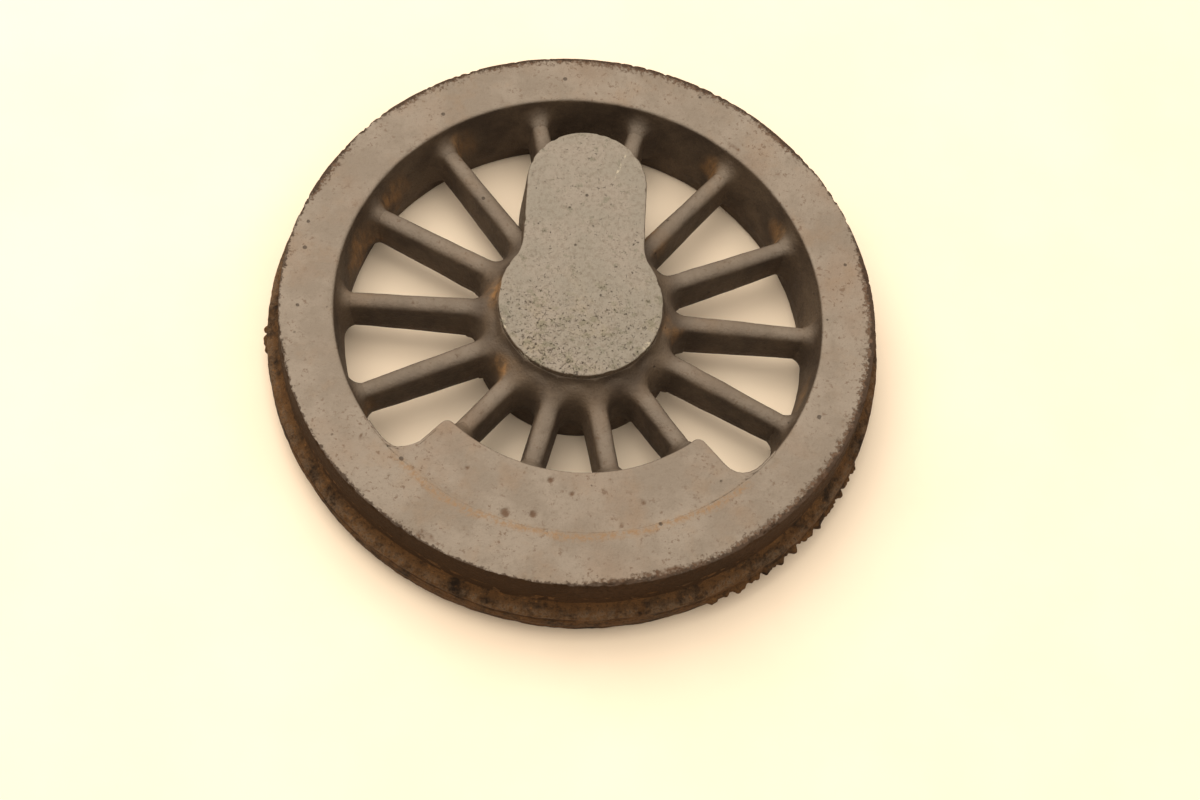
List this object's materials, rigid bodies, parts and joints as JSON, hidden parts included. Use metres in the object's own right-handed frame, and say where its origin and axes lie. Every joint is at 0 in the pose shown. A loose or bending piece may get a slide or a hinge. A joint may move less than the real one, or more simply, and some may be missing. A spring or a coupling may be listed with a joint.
{
  "type": "driving wheel casting",
  "caption": "Unmachined cast iron spoked driving wheel for a model locomotive, with flange, pear-shaped crank boss and balance weight.",
  "frame": {"origin": "on the wheel's axis, in the flat plane of its back", "axes": "+Z along the wheel's axis from the back (flange side) to the front (crank side); +Y from the axis towards the crank boss's small end; +X to the right of that seen from the front"},
  "size_m": [0.1377, 0.1372, 0.0213],
  "materials": {
    "skin": "thin warm grey primer over sand-cast iron, pitted, with rust specks",
    "boss": "grey primer over iron, closely pitted, rusty along its edge",
    "tread": "dark rusty foundry scale"
  },
  "bodies": {
    "root": {"rim": "skin", "flange": "tread", "hub": "skin", "crank_boss": "boss", "balance_weight": "skin", "flash_fin": "tread", "flash_nub": "tread", "spoke_01": "skin", "spoke_02": "skin", "spoke_03": "skin", "spoke_04": "skin", "spoke_05": "skin", "spoke_06": "skin", "spoke_07": "skin", "spoke_08": "skin", "spoke_09": "skin", "spoke_10": "skin", "spoke_11": "skin", "spoke_12": "skin", "spoke_13": "skin", "spoke_14": "skin"}
  },
  "joints": []
}
